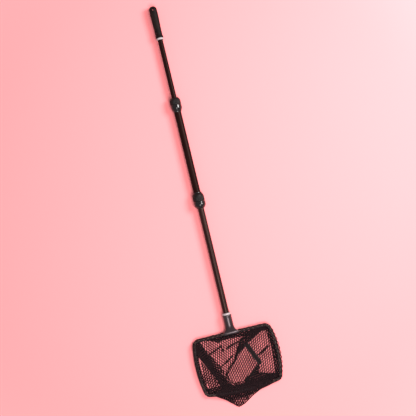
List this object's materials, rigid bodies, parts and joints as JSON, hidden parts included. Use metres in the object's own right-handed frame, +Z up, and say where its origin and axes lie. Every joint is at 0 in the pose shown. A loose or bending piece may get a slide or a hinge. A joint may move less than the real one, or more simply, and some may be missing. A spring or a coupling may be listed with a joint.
{
  "type": "leaf skimmer net",
  "caption": "Telescopic pole with a moulded grip and twist-lock collars, ending in a tee socket that holds a rectangular bent-rod frame with a folded mesh bag.",
  "frame": {"origin": "centre of the bounding box, on the floor that the net lies on", "axes": "+Y along the pole towards the handle, +X across the net, +Z up"},
  "size_m": [0.266, 1.27, 0.0365],
  "materials": {
    "tube_paint": "satin black paint on thin aluminium tube",
    "white_plastic": "glossy white",
    "socket_plastic": "semi-gloss dark grey",
    "collar_gloss": "glossy black",
    "collar_matte": "matte black with fine grip ribs",
    "grip_rubber": "matte black with a moulded texture",
    "nylon": "plain dark nylon",
    "screw_steel": "zinc plated",
    "frame_wire": "brown-black coated wire",
    "mesh_fabric": "open knitted nylon mesh",
    "binding_tape": "woven binding tape"
  },
  "bodies": {
    "net_section": {"lower_tube": "tube_paint", "socket_ring": "white_plastic", "net_socket": "socket_plastic", "yoke_clamp": "socket_plastic", "yoke_screws": "screw_steel", "socket_screw": "screw_steel", "frame_rod": "frame_wire", "hem_near_left": "mesh_fabric", "hem_near_right": "mesh_fabric", "hem_left": "mesh_fabric", "hem_right": "mesh_fabric", "hem_far": "mesh_fabric", "bag_near_panel": "mesh_fabric", "bag_left_panel": "mesh_fabric", "bag_right_panel": "mesh_fabric", "bag_far_panel": "mesh_fabric", "bag_bottom_panel": "mesh_fabric", "bottom_binding": "binding_tape", "corner_bindings": "binding_tape"},
    "lower_stop": {"lower_tube_stop": "nylon"},
    "middle_section": {"middle_tube": "tube_paint", "upper_collar_body": "collar_gloss", "upper_collet": "nylon", "lower_collar_body": "collar_matte", "lower_collar_ring": "collar_gloss", "lower_collet": "nylon"},
    "upper_stop": {"upper_tube_stop": "nylon"},
    "upper_section": {"upper_tube": "tube_paint", "grip_sleeve": "grip_rubber", "grip_ring": "white_plastic"},
    "upper_nut": {"upper_lock_nut": "collar_matte"},
    "lower_nut": {"lower_lock_nut": "collar_gloss"}
  },
  "joints": [
    {"name": "lower_turn", "type": "hinge", "parent": "net_section", "child": "lower_stop", "pos_m": [0, 0.05, 0.01825], "axis": [0, 1, 0], "continuous": true},
    {"name": "lower_slide", "type": "slide", "parent": "lower_stop", "child": "middle_section", "axis": [0, -1, 0], "range_m": [0, 0.243]},
    {"name": "upper_slide", "type": "slide", "parent": "middle_section", "child": "upper_stop", "axis": [0, -1, 0], "range_m": [0, 0.183]},
    {"name": "upper_turn", "type": "hinge", "parent": "upper_stop", "child": "upper_section", "pos_m": [0, 0.295, 0.01825], "axis": [0, 1, 0], "continuous": true},
    {"name": "upper_nut_turn", "type": "hinge", "parent": "middle_section", "child": "upper_nut", "pos_m": [0, 0.333, 0.01825], "axis": [0, 1, 0], "range_deg": [0, 120]},
    {"name": "lower_nut_turn", "type": "hinge", "parent": "middle_section", "child": "lower_nut", "pos_m": [0, 0.005, 0.01825], "axis": [0, -1, 0], "range_deg": [0, 120]}
  ]
}
